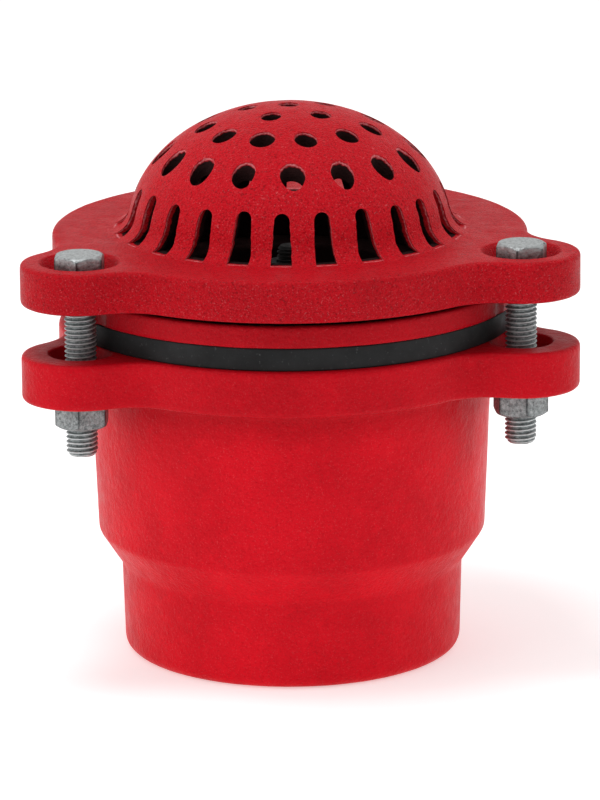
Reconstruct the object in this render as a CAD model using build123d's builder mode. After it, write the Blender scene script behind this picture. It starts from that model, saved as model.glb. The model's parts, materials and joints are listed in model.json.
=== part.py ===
"""Foot valve with a 4 inch threaded socket, a hinged rubber flap and a domed cast strainer.

Frame: the origin is the centre of the socket's end face, and +Z runs along the pipe axis
towards the strainer. The valve rests on its socket end, as it does on a shelf.
All sizes are millimetres.
"""
from build123d import *
import os
from math import cos, radians, sin, sqrt, tan

os.makedirs("parts", exist_ok=True)

# ---- driving dimensions -------------------------------------------------------------------

# Pipe thread in the socket: G 4, eleven threads to the inch.
thread_minor_radius = 55.036
thread_depth = 35.0
thread_lead_in = 1.0

# Body casting, from the socket end up.
socket_end_radius = 65.0
socket_top_radius = 65.8
socket_height = 34.8
socket_end_round = 4.5
shoulder_radius = 74.7
shoulder_height = 47.8
barrel_top_radius = 77.2
chamber_bottom_radius = 67.2
chamber_top_radius = 68.6
chamber_bottom_height = 51.0
throat_radius = 57.0
throat_height = 37.5
body_flange_bottom = 112.5
body_flange_top = 130.0
body_flange_radius = 89.0
body_flange_root_round = 4.0

# Three lugs, shared by both castings.
bolt_count = 3
first_bolt_angle = -30.0
bolt_circle_radius = 96.0
lug_radius = 22.3
lug_blend_radius = 22.0
bolt_hole_radius = 6.8
body_pocket_radius = 10.2
body_pocket_depth = 5.0
cast_edge_round = 2.0

# Rubber sheet: a clamped gasket ring with the flap cut inside it.
rubber_thickness = 8.8
gasket_outer_radius = 86.4
slit_outer_radius = 60.0
bridge_overlap = 1.0
flap_radius = 57.0
hinge_y = 50.0
flap_travel = 60.0
hinge_radius = 4.1
hinge_gap = 0.4
hinge_half_length = 26.0
hinge_cut_half_length = 29.0

# Loose seat ring between the rubber and the strainer.
seat_thickness = 8.6
seat_outer_radius = 87.4
seat_hole_radius = 47.0
seat_notch_radius = 9.5
seat_edge_round = 0.8

# Strainer casting.
strainer_flange_bottom = 149.0
strainer_flange_top = 165.0
strainer_flange_radius = 91.0
raised_face_radius = 78.0
strainer_throat_radius = 62.0
throat_taper_rise = 7.0
head_pocket_radius = 13.0
head_pocket_depth = 4.5
dome_radius = 62.0
dome_height = 48.0
dome_wall = 5.5
dome_root_round = 8.0

# Strainer openings: a ring of tall slots, then rings of round holes up to the crown.
slot_count = 24
slot_first_angle = 7.5
slot_floor = 165.3
slot_top = 183.3
slot_foot_width = 8.8
slot_head_radius = 3.1
slot_inner_reach = 44.0
slot_outer_reach = 76.0
hole_rings = (
    # (ring radius, number of holes, angle of the first hole, hole radius)
    (47.7, 16, -93.0, 4.7),
    (32.4, 12, -83.0, 4.6),
    (16.0, 5, -120.0, 4.1),
)
crown_hole_radius = 3.9

# Flange bolts and nuts: M12, the heads 18 mm and the nuts 19 mm across the flats.
bolt_radius = 6.0
bolt_length = 70.0
bolt_end_chamfer = 1.2
bolt_head_height = 7.5
head_across_flats = 18.0
nut_across_flats = 19.0
nut_height = 10.8
nut_bore_gap = 0.05
head_turns = (14.0, 8.0, 21.0)
nut_turns = (35.0, 4.0, 21.0)

# Flap clamp: a cast weight below, a steel plate above, and an M10 bolt through all three.
weight_radius = 40.0
weight_thickness = 12.0
weight_draft = 1.5
weight_edge_round = 2.0
plate_radius = 38.0
plate_thickness = 3.0
plate_edge_round = 0.6
clamp_hole_radius = 5.4
clamp_bolt_radius = 5.0
clamp_bolt_length = 40.0
clamp_end_chamfer = 1.0
clamp_head_height = 6.4
clamp_across_flats = 17.0
clamp_nut_height = 8.0
washer_radius = 9.0
washer_thickness = 2.2
washer_split = 1.5

# How close an edge or a vertex has to lie to a stated size to be picked by it.
nearby = 0.5
level_tolerance = 0.01

# Hexagon corners are turned down to a cone that leaves a flat circle this wide.
hexagon_flat_share = 0.95
hexagon_cone_angle = 30.0

# ---- heights that follow from the stack ----------------------------------------------------

rubber_bottom = body_flange_top
rubber_top = rubber_bottom + rubber_thickness
hinge_height = rubber_bottom + rubber_thickness / 2
seat_bottom = rubber_top
seat_top = seat_bottom + seat_thickness
head_seat = strainer_flange_top - head_pocket_depth
weight_bottom = rubber_bottom - weight_thickness
plate_top = rubber_top + plate_thickness
washer_top = plate_top + washer_thickness


# ---- shapes used more than once ------------------------------------------------------------

def on_bolt_circle():
    """The three bolt positions, 120 degrees apart."""
    return PolarLocations(bolt_circle_radius, bolt_count, first_bolt_angle)


def flange_outline(round_radius):
    """A round flange with three lugs, each blended into the round by a hollow curve."""
    with BuildSketch() as outline:
        Circle(round_radius)
        with on_bolt_circle():
            Circle(lug_radius)
        corners = outline.vertices().filter_by(
            lambda v: abs(lug_distance(v) - lug_radius) < nearby
            and abs(sqrt(v.X**2 + v.Y**2) - round_radius) < nearby
        )
        fillet(corners, lug_blend_radius)
    return outline.sketch


def lug_distance(vertex):
    """How far a vertex is from the nearest bolt axis."""
    step = 360.0 / bolt_count
    distances = []
    for index in range(bolt_count):
        angle = radians(first_bolt_angle + index * step)
        away_x = vertex.X - bolt_circle_radius * cos(angle)
        away_y = vertex.Y - bolt_circle_radius * sin(angle)
        distances.append(sqrt(away_x**2 + away_y**2))
    return min(distances)


def is_level(edge):
    """True for an edge that lies in one horizontal plane."""
    return edge.bounding_box().size.Z < level_tolerance


def reach(edge):
    """How far the middle of an edge is from the pipe axis."""
    middle = edge @ 0.5
    return sqrt(middle.X**2 + middle.Y**2)


def bevelled_hexagon(across_flats, height, bevel_foot):
    """A hexagonal prism standing on Z = 0 with its corners turned down to a cone."""
    corner_radius = across_flats / sqrt(3)
    flat_circle = hexagon_flat_share * across_flats / 2
    drop = (corner_radius - flat_circle) * tan(radians(hexagon_cone_angle))
    if bevel_foot:
        foot = [(flat_circle, 0), (corner_radius, drop)]
    else:
        foot = [(corner_radius, 0)]
    crown = [(corner_radius, height - drop), (flat_circle, height)]
    with BuildPart() as hexagon:
        with BuildSketch():
            RegularPolygon(across_flats / 2, 6, major_radius=False)
        extrude(amount=height)
        with BuildSketch(Plane.XZ):
            with BuildLine():
                Polyline((0, 0), *foot, *crown, (0, height), close=True)
            make_face()
        revolve(axis=Axis.Z, mode=Mode.INTERSECT)
    return hexagon.part


def hex_bolt(across_flats, head_height, shank_radius, length, end_chamfer):
    """A hexagon bolt whose head stands on Z = 0 and whose shank hangs down to -length."""
    with BuildPart() as bolt:
        add(bevelled_hexagon(across_flats, head_height, bevel_foot=False))
        with BuildSketch():
            Circle(shank_radius)
        extrude(amount=-length)
        chamfer(bolt.edges().group_by(Axis.Z)[0], end_chamfer)
    return bolt.part


def hex_nut(across_flats, height, bore_radius):
    """A hexagon nut standing on Z = 0, bevelled on both faces."""
    with BuildPart() as nut:
        add(bevelled_hexagon(across_flats, height, bevel_foot=True))
        with BuildSketch():
            Circle(bore_radius)
        extrude(amount=height, mode=Mode.SUBTRACT)
    return nut.part


def save(builder, name):
    """Label a finished piece and write it under its own name."""
    builder.part.label = name
    export_step(builder.part, f"parts/{name}.step")


# ---- body: threaded socket, shoulder, flap chamber and lower flange -------------------------

with BuildPart() as body:
    with BuildSketch(Plane.XZ):
        with BuildLine():
            Polyline(
                (0, 0),
                (socket_end_radius, 0),
                (socket_top_radius, socket_height),
                (shoulder_radius, shoulder_height),
                (barrel_top_radius, body_flange_bottom),
                (0, body_flange_bottom),
                close=True,
            )
        make_face()
    revolve(axis=Axis.Z)
    socket_rim = body.edges().filter_by(GeomType.CIRCLE).group_by(Axis.Z)[0]
    fillet(socket_rim, socket_end_round)
    with BuildSketch(Plane.XY.offset(body_flange_bottom)):
        add(flange_outline(body_flange_radius))
    extrude(amount=body_flange_top - body_flange_bottom)
    flange_rims = body.edges().filter_by(is_level).filter_by_position(
        Axis.Z, body_flange_bottom, body_flange_top
    )
    root_circle = flange_rims.filter_by(lambda e: reach(e) < barrel_top_radius + nearby)
    fillet(root_circle, body_flange_root_round)
    flange_rims = body.edges().filter_by(is_level).filter_by(
        lambda e: reach(e) > body_flange_radius - nearby
    )
    fillet(flange_rims, cast_edge_round)

    # Flow path: threaded socket, throat cone and the chamber that the flap swings in.
    with BuildSketch(Plane.XZ):
        with BuildLine():
            Polyline(
                (0, 0),
                (thread_minor_radius + thread_lead_in, 0),
                (thread_minor_radius, thread_lead_in),
                (thread_minor_radius, thread_depth),
                (throat_radius, throat_height),
                (chamber_bottom_radius, chamber_bottom_height),
                (chamber_top_radius, body_flange_top),
                (0, body_flange_top),
                close=True,
            )
        make_face()
    revolve(axis=Axis.Z, mode=Mode.SUBTRACT)

    # Bolt holes, each opening into a wide cored pocket on top of the lug.
    with BuildSketch(Plane.XY.offset(body_flange_bottom)):
        with on_bolt_circle():
            Circle(bolt_hole_radius)
    extrude(amount=body_flange_top - body_flange_bottom, mode=Mode.SUBTRACT)
    with BuildSketch(Plane.XY.offset(body_flange_top - body_pocket_depth)):
        with on_bolt_circle():
            Circle(body_pocket_radius)
    extrude(amount=body_pocket_depth, mode=Mode.SUBTRACT)
save(body, "body")


# ---- rubber sheet: clamped gasket ring and the flap cut inside it ---------------------------

with BuildPart() as rubber_gasket:
    with BuildSketch(Plane.XY.offset(rubber_bottom)):
        Circle(gasket_outer_radius)
        Circle(slit_outer_radius, mode=Mode.SUBTRACT)
        # The bridge that the flap hinges from closes the slit on the +Y side.
        with BuildSketch(mode=Mode.PRIVATE) as bridge:
            with Locations((0, hinge_y)):
                Rectangle(
                    2 * hinge_half_length,
                    slit_outer_radius,
                    align=(Align.CENTER, Align.MIN),
                )
            Circle(slit_outer_radius + bridge_overlap, mode=Mode.INTERSECT)
        add(bridge.sketch)
    extrude(amount=rubber_thickness)
    # A hollow round seat for the flap's rolled edge, with room for its root when it hangs open.
    hinge_seat_radius = hinge_radius + hinge_gap
    with BuildSketch(Plane.YZ):
        with Locations((hinge_y, hinge_height)):
            Circle(hinge_seat_radius)
            Rectangle(
                rubber_thickness,
                2 * hinge_seat_radius,
                rotation=flap_travel,
                align=(Align.MAX, Align.CENTER),
            )
    extrude(amount=hinge_cut_half_length, both=True, mode=Mode.SUBTRACT)
save(rubber_gasket, "rubber_gasket")

with BuildPart() as rubber_flap:
    with BuildSketch(Plane.XY.offset(rubber_bottom)):
        Circle(flap_radius)
        with Locations((0, hinge_y)):
            Rectangle(
                2 * flap_radius,
                flap_radius,
                align=(Align.CENTER, Align.MIN),
                mode=Mode.SUBTRACT,
            )
        Circle(clamp_hole_radius, mode=Mode.SUBTRACT)
    extrude(amount=rubber_thickness)
    # The edge at the hinge is rolled to a half round about the hinge line.
    with BuildSketch(Plane.YZ):
        with Locations((hinge_y, hinge_height)):
            Rectangle(2 * hinge_radius, 2 * rubber_thickness)
    extrude(amount=flap_radius, both=True, mode=Mode.SUBTRACT)
    with BuildSketch(Plane.YZ):
        with Locations((hinge_y, hinge_height)):
            Circle(hinge_radius)
            Rectangle(hinge_radius, 2 * hinge_radius, align=(Align.MAX, Align.CENTER))
    extrude(amount=hinge_half_length, both=True)
save(rubber_flap, "rubber_flap")


# ---- seat ring ----------------------------------------------------------------------------

with BuildPart() as seat_ring:
    with BuildSketch(Plane.XY.offset(seat_bottom)):
        Circle(seat_outer_radius)
        Circle(seat_hole_radius, mode=Mode.SUBTRACT)
        with on_bolt_circle():
            Circle(seat_notch_radius, mode=Mode.SUBTRACT)
    extrude(amount=seat_thickness)
    outer_rims = seat_ring.edges().filter_by(is_level).filter_by(
        lambda e: reach(e) > seat_hole_radius + nearby
    )
    fillet(outer_rims, seat_edge_round)
save(seat_ring, "seat_ring")


# ---- strainer: flange plate, raised face and slotted dome ------------------------------------

with BuildPart() as slot_cutter:
    # One slot seen from outside: a flat foot, sides that lean in, and a round head.
    slot_depth = slot_outer_reach - slot_inner_reach
    with BuildSketch(Plane.YZ.offset(slot_inner_reach)):
        with BuildLine():
            foot_left = (-slot_foot_width / 2, slot_floor)
            foot_right = (slot_foot_width / 2, slot_floor)
            head_left = (-slot_head_radius, slot_top - slot_head_radius)
            head_right = (slot_head_radius, slot_top - slot_head_radius)
            Line(foot_left, foot_right)
            Line(foot_right, head_right)
            ThreePointArc(head_right, (0, slot_top), head_left)
            Line(head_left, foot_left)
        make_face()
    extrude(amount=slot_depth)

with BuildPart() as strainer:
    with BuildSketch(Plane.XY.offset(strainer_flange_bottom)):
        add(flange_outline(strainer_flange_radius))
    extrude(amount=strainer_flange_top - strainer_flange_bottom)
    fillet(strainer.edges().filter_by(is_level), cast_edge_round)
    with BuildSketch(Plane.XY.offset(seat_top)):
        Circle(raised_face_radius)
    extrude(amount=strainer_flange_bottom - seat_top)

    # Half-ellipsoid dome with a hollow root curve where it leaves the flange.
    with BuildSketch(Plane.XZ):
        with BuildLine():
            crown = EllipticalCenterArc(
                (0, strainer_flange_top), dome_radius, dome_height, arc_size=90
            )
            Line(crown @ 1, (0, strainer_flange_top))
            Line((0, strainer_flange_top), crown @ 0)
        make_face()
    revolve(axis=Axis.Z)
    dome_root = strainer.edges().filter_by(is_level).filter_by(
        lambda e: abs(reach(e) - dome_radius) < nearby
        and abs(e.center().Z - strainer_flange_top) < nearby
    )
    fillet(dome_root, dome_root_round)

    # Inside of the dome, and the wider throat that tapers into it.
    inner_radius = dome_radius - dome_wall
    inner_height = dome_height - dome_wall
    taper_top_radius = inner_radius * sqrt(1 - (throat_taper_rise / inner_height) ** 2)
    taper_top = strainer_flange_top + throat_taper_rise
    with BuildSketch(Plane.XZ):
        with BuildLine():
            inner_crown = EllipticalCenterArc(
                (0, strainer_flange_top), inner_radius, inner_height, arc_size=90
            )
            Line(inner_crown @ 1, (0, strainer_flange_top))
            Line((0, strainer_flange_top), inner_crown @ 0)
        make_face()
    revolve(axis=Axis.Z, mode=Mode.SUBTRACT)
    with BuildSketch(Plane.XZ):
        with BuildLine():
            Polyline(
                (0, seat_top),
                (strainer_throat_radius, seat_top),
                (strainer_throat_radius, strainer_flange_top),
                (taper_top_radius, taper_top),
                (0, taper_top),
                close=True,
            )
        make_face()
    revolve(axis=Axis.Z, mode=Mode.SUBTRACT)

    # Bolt holes with sunken seats for the bolt heads.
    with BuildSketch(Plane.XY.offset(strainer_flange_bottom)):
        with on_bolt_circle():
            Circle(bolt_hole_radius)
    extrude(amount=strainer_flange_top - strainer_flange_bottom, mode=Mode.SUBTRACT)
    with BuildSketch(Plane.XY.offset(head_seat)):
        with on_bolt_circle():
            Circle(head_pocket_radius)
    extrude(amount=head_pocket_depth, mode=Mode.SUBTRACT)

    with PolarLocations(0, slot_count, slot_first_angle):
        add(slot_cutter.part, mode=Mode.SUBTRACT)

    # Round holes run straight up through the dome, as the casting is drawn.
    with BuildSketch(Plane.XY.offset(strainer_flange_top + dome_wall)):
        Circle(crown_hole_radius)
        for ring_radius, holes, first_angle, hole_radius in hole_rings:
            with PolarLocations(ring_radius, holes, first_angle):
                Circle(hole_radius)
    extrude(amount=dome_height, mode=Mode.SUBTRACT)
save(strainer, "strainer")


# ---- flap clamp: weight, plate, lock washer, bolt and nut ------------------------------------

with BuildPart() as flap_weight:
    with BuildSketch(Plane.XZ):
        with BuildLine():
            Polyline(
                (clamp_hole_radius, weight_bottom),
                (weight_radius - weight_draft, weight_bottom),
                (weight_radius, rubber_bottom),
                (clamp_hole_radius, rubber_bottom),
                close=True,
            )
        make_face()
    revolve(axis=Axis.Z)
    lower_rim = flap_weight.edges().group_by(Axis.Z)[0].sort_by(SortBy.RADIUS)[-1]
    fillet(lower_rim, weight_edge_round)
save(flap_weight, "flap_weight")

with BuildPart() as flap_plate:
    with BuildSketch(Plane.XY.offset(rubber_top)):
        Circle(plate_radius)
        Circle(clamp_hole_radius, mode=Mode.SUBTRACT)
    extrude(amount=plate_thickness)
    upper_rim = flap_plate.edges().group_by(Axis.Z)[-1].sort_by(SortBy.RADIUS)[-1]
    fillet(upper_rim, plate_edge_round)
save(flap_plate, "flap_plate")

with BuildPart() as flap_lock_washer:
    with BuildSketch(Plane.XY.offset(plate_top)):
        Circle(washer_radius)
        Circle(clamp_hole_radius, mode=Mode.SUBTRACT)
        with Locations((washer_radius, 0)):
            Rectangle(washer_radius, washer_split, mode=Mode.SUBTRACT)
    extrude(amount=washer_thickness)
save(flap_lock_washer, "flap_lock_washer")

with BuildPart() as flap_bolt:
    clamp_bolt = hex_bolt(
        clamp_across_flats,
        clamp_head_height,
        clamp_bolt_radius,
        clamp_bolt_length,
        clamp_end_chamfer,
    )
    # The head is under the weight, so the bolt stands upside down.
    with Locations(Location((0, 0, weight_bottom), (180, 0, 0))):
        add(clamp_bolt)
save(flap_bolt, "flap_bolt")

with BuildPart() as flap_nut:
    clamp_nut = hex_nut(
        clamp_across_flats, clamp_nut_height, clamp_bolt_radius + nut_bore_gap
    )
    with Locations((0, 0, washer_top)):
        add(clamp_nut)
save(flap_nut, "flap_nut")


# ---- three flange bolts and nuts -------------------------------------------------------------

stud = hex_bolt(
    head_across_flats, bolt_head_height, bolt_radius, bolt_length, bolt_end_chamfer
)
nut_blank = hex_nut(nut_across_flats, nut_height, bolt_radius + nut_bore_gap)

for index in range(bolt_count):
    bolt_angle = first_bolt_angle + index * 360.0 / bolt_count
    axis_x = bolt_circle_radius * cos(radians(bolt_angle))
    axis_y = bolt_circle_radius * sin(radians(bolt_angle))
    nut_foot = body_flange_bottom - nut_height

    with BuildPart() as flange_bolt:
        with Locations(Location((axis_x, axis_y, head_seat), (0, 0, head_turns[index]))):
            add(stud)
    save(flange_bolt, f"flange_bolt_{index + 1}")

    with BuildPart() as flange_nut:
        with Locations(Location((axis_x, axis_y, nut_foot), (0, 0, nut_turns[index]))):
            add(nut_blank)
    save(flange_nut, f"flange_nut_{index + 1}")
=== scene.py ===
"""Looks of the foot valve: painted castings, galvanised fasteners and the rubber sheet.

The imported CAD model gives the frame. Every casting is built again here at a finer grain, with
the soft edges and the slightly uneven skin of a sand casting, and every bolt gets its thread.
Lengths are metres in Blender. The sizes of the valve below are millimetres, and the camera's
and the lights' are metres.
"""
import json
import math
import random

import bpy
import numpy as np
from mathutils import Matrix, Vector, noise

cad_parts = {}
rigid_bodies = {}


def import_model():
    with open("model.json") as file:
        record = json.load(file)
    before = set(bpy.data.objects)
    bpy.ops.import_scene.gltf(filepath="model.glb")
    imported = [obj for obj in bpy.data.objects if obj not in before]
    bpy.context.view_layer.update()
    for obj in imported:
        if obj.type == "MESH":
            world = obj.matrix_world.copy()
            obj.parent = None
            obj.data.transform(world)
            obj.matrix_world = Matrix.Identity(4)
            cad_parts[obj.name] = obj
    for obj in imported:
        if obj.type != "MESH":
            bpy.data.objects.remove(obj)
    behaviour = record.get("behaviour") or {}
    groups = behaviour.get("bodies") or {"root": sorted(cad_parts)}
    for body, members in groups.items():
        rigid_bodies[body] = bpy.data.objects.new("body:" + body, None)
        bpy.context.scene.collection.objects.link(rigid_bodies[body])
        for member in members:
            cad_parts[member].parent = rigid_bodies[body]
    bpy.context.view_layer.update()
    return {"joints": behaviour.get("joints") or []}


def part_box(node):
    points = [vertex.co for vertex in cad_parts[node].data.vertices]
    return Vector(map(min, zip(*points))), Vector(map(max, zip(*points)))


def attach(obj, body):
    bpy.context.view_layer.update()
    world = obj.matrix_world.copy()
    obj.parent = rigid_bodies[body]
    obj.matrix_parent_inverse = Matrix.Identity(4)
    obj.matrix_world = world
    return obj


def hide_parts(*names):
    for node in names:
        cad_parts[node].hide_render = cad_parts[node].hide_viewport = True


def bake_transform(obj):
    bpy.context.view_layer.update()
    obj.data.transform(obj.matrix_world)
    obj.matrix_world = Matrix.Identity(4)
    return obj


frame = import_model()

MM = 0.001
TURN = 2 * math.pi

# ---- from the frame ----------------------------------------------------------------------------

HINGE = frame["joints"][0]
HINGE_POINT = Vector(HINGE["pos_m"])
HOUSING, FLAP = HINGE["parent"], HINGE["child"]

# ---- heights (mm) ------------------------------------------------------------------------------

FLANGE_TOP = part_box("body")[1].z / MM
RUBBER_LOW, RUBBER_HIGH = (corner.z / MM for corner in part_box("rubber_gasket"))
SEAT_LOW, SEAT_HIGH = (corner.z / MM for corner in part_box("seat_ring"))
DOME_RISE = 48.0
STRAINER_HIGH = 213.0
STRAINER_FLANGE_HIGH = STRAINER_HIGH - DOME_RISE
STRAINER_FLANGE_LOW = SEAT_HIGH + 1.6
BODY_FLANGE_LOW = 112.5
HEAD_POCKET_DEPTH = 4.5
HEAD_SEAT = STRAINER_FLANGE_HIGH - HEAD_POCKET_DEPTH

# ---- sizes of the castings (mm) ----------------------------------------------------------------

SOCKET_FOOT_RADIUS = 65.0
SOCKET_TOP_RADIUS = 65.9
SHOULDER_LOW = 34.6
SHOULDER_HIGH = 48.0
BARREL_LOW_RADIUS = 74.7
BARREL_TOP_RADIUS = 77.2
CHAMBER_LOW_RADIUS = 67.2
CHAMBER_TOP_RADIUS = 68.6
CHAMBER_FLOOR = 51.0
BORE_TOP = 38.0
BORE_TOP_RADIUS = 57.4

LUG_ANGLES = [math.radians(a) for a in (-30.0, 90.0, 210.0)]
LUG_SPACING = TURN / 3
LUG_DISTANCE = 96.0
LUG_RADIUS = 22.3
LUG_BLEND = 22.0
BODY_FLANGE_RADIUS = 89.0
STRAINER_FLANGE_RADIUS = 91.0
EDGE_ROUND = 1.7
BOLT_HOLE = 6.8

DOME_RADIUS = 62.0
DOME_WALL = 5.5
DOME_ROOT = 8.0
THROAT_RADIUS = 62.0
THROAT_TAPER = 7.0
RAISED_FACE_RADIUS = 78.0
HEAD_POCKET_RADIUS = 13.0
BODY_POCKET_RADIUS = 10.2
BODY_POCKET_DEPTH = 5.0

SLOTS = 24
SLOT_FIRST = 7.5
SLOT_FLOOR = 165.3
SLOT_TOP = 183.3
SLOT_FOOT = 8.1
SLOT_HEAD_RADIUS = 3.1
# ring radius, number of holes, angle of the first hole, hole radius
HOLE_RINGS = ((47.7, 16, -93.0, 4.7), (32.4, 12, -83.0, 4.6), (16.0, 5, -120.0, 4.1))
CROWN_HOLE = 3.9
# How far from the axis the slot cutters run, through the dome's wall.
SLOT_REACH = (44.0, 76.0)
# The heights between which each set of drills runs, past the metal on both sides.
BODY_DRILL = (100.0, 140.0)
STRAINER_DRILL = (140.0, 180.0)
DOME_DRILL = (172.0, 220.0)

SEAT_RADIUS = 87.4
SEAT_HOLE = 47.0
SEAT_NOTCH = 9.5
GASKET_RADIUS = 86.4
SLIT_RADIUS = 60.0
FLAP_RADIUS = 57.0
FLAP_BORE = 5.2

BOLT_RADIUS = 6.0
BOLT_PITCH = 1.75
BOLT_LENGTH = 70.0
HEAD_ACROSS = 17.8
HEAD_HEIGHT = 7.5
HEAD_TURNS = (14.0, 8.0, 21.0)
NUT_ACROSS = 19.0
NUT_HEIGHT = 10.8
NUT_TURNS = (35.0, 4.0, 21.0)
# A hexagon's corners are turned off to a cone, down to a round flat this share of its width.
CROWN_SHARE = 0.94
CONE_SLOPE = math.tan(math.radians(36))
HEXAGON_SEGMENTS = 96
HEXAGON_EASE = 0.55

CLAMP_BORE = 5.4
CLAMP_ACROSS = 17.0
CLAMP_BOLT_RADIUS = 5.0
CLAMP_BOLT_PITCH = 1.5
CLAMP_BOLT_LENGTH = 40.0
CLAMP_HEAD_HEIGHT = 6.4
CLAMP_NUT_HEIGHT = 8.0
WASHER_RADIUS = 9.0
PLATE_RADIUS = 38.0
WEIGHT_RADIUS = 39.9

PIPE_MINOR = 55.036
PIPE_PITCH = 2.309
PIPE_THREAD_DEPTH = 1.48
PIPE_SLEEVE = 57.2
PIPE_LENGTH = 35.0

# ---- camera and studio (m) ---------------------------------------------------------------------

CAMERA_AZIMUTH = math.radians(-4.93)
CAMERA_ELEVATION = math.radians(14.375)
CAMERA_ROLL = math.radians(0.405)
CAMERA_DISTANCE = 2.158
LENS = 252.0
SENSOR = 36.0
# The camera looks at a point on the pipe axis, which stands this far off the picture's middle.
LOOK_AT = Vector((0.0, 0.0, 0.110))
LEFT_OF_MIDDLE = 0.0035452857
ABOVE_MIDDLE = 0.0129865357

FLOOR_RADIUS = 3.0
FLOOR_THICKNESS = 0.020
LIT_POINT = Vector((0.0, 0.0, 0.10))
# Brightness of the room behind the camera, and from its sides round to the back.
FRONT_SKY = 0.40
SIDE_SKY = 0.66

# Grain of the remeshed castings: coarser while trying things out.
VOXEL = 0.6
SKIN_SOFTENING = 2
SKIN_SWELL = 0.10
FACE_BUDGET = 190_000
STRAINER_FACE_BUDGET = 120_000


# ---- mesh building -----------------------------------------------------------------------------

def new_object(name, points, faces):
    """A mesh object from points in millimetres."""
    mesh = bpy.data.meshes.new(name)
    mesh.from_pydata([Vector(p) * MM for p in points], [], faces)
    mesh.update()
    made = bpy.data.objects.new(name, mesh)
    bpy.context.scene.collection.objects.link(made)
    return made


def loft(name, rings, wrap=False):
    """Joins equal rings of points. The ends are capped, or joined to each other with wrap."""
    count = len(rings[0])
    points = [p for ring in rings for p in ring]
    faces = []
    last = len(rings) if wrap else len(rings) - 1
    for row in range(last):
        low, high = row * count, ((row + 1) % len(rings)) * count
        for i in range(count):
            j = (i + 1) % count
            faces.append((low + i, low + j, high + j, high + i))
    if not wrap:
        faces.append(tuple(reversed(range(count))))
        faces.append(tuple(range((len(rings) - 1) * count, len(rings) * count)))
    return new_object(name, points, faces)


def circle(radius, height, segments, centre=(0.0, 0.0)):
    """A ring of points round a vertical axis."""
    ring = []
    for i in range(segments):
        angle = TURN * i / segments
        x = centre[0] + radius * math.cos(angle)
        y = centre[1] + radius * math.sin(angle)
        ring.append((x, y, height))
    return ring


def lathe(name, profile, segments=256):
    """Turns a closed (radius, height) outline, which stays off the axis, into a hollow solid."""
    return loft(name, [circle(r, z, segments) for r, z in profile], wrap=True)


def rounded(corners, steps=7):
    """An outline through (x, y, radius) corners, each turned by an arc of that radius."""
    outline = []
    for i, (x, y, radius) in enumerate(corners):
        here = Vector((x, y))
        if radius <= 0:
            outline.append((x, y))
            continue
        before = (Vector(corners[i - 1][:2]) - here).normalized()
        after = (Vector(corners[(i + 1) % len(corners)][:2]) - here).normalized()
        half = before.angle(after) / 2
        setback = radius / math.tan(half)
        centre = here + (before + after).normalized() * (radius / math.sin(half))
        start, end = here + before * setback - centre, here + after * setback - centre
        sweep = start.angle_signed(end)
        for k in range(steps + 1):
            spoke = Matrix.Rotation(-sweep * k / steps, 2) @ start
            outline.append(tuple(centre + spoke))
    return outline


def cutter(name, radius, low, high, centre=(0.0, 0.0), flare=0.0, segments=64):
    """An upright cutter that widens by flare from its floor to the surface it is sunk in."""
    rings = [circle(radius, low, segments, centre)]
    rings.append(circle(radius + flare, high, segments, centre))
    if flare:
        rings.append(circle(radius + flare, high + 5, segments, centre))
    return loft(name, rings)


def ragged_drill(name, radius, low, high, centre, chance, segments=40):
    """An upright cutter with the uneven outline of a hole cast in sand."""
    waves = [(chance.uniform(-0.22, 0.22), chance.uniform(0, TURN)) for _ in range(3)]
    outline = []
    for i in range(segments):
        angle = TURN * i / segments
        reach = radius
        for order, (height, shift) in enumerate(waves, start=2):
            reach += height * math.cos(order * angle + shift) / (order - 1)
        outline.append((centre[0] + reach * math.cos(angle), centre[1] + reach * math.sin(angle)))
    return loft(name, [[(x, y, z) for x, y in outline] for z in (low, high)])


def join(name, objects):
    """Several mesh objects as one, without merging their surfaces."""
    points, faces = [], []
    for each in objects:
        offset = len(points)
        points += [v.co.copy() / MM for v in each.data.vertices]
        faces += [tuple(offset + i for i in f.vertices) for f in each.data.polygons]
        remove(each)
    return new_object(name, points, faces)


def remove(obj):
    """Deletes an object and its mesh."""
    mesh = obj.data
    bpy.data.objects.remove(obj)
    bpy.data.meshes.remove(mesh)


def bake_modifiers(obj):
    """Makes the result of the modifiers the object's own mesh."""
    graph = bpy.context.evaluated_depsgraph_get()
    mesh = bpy.data.meshes.new_from_object(obj.evaluated_get(graph))
    obj.modifiers.clear()
    old = obj.data
    obj.data = mesh
    bpy.data.meshes.remove(old)


def combine(obj, other, operation):
    """A boolean with another closed mesh, which is used up."""
    modifier = obj.modifiers.new("combine", "BOOLEAN")
    modifier.operation = operation
    modifier.solver = "MANIFOLD"
    modifier.object = other
    bake_modifiers(obj)
    remove(other)


def shade_smooth(obj):
    """Smooth shading on every face."""
    obj.data.polygons.foreach_set("use_smooth", [True] * len(obj.data.polygons))


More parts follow.
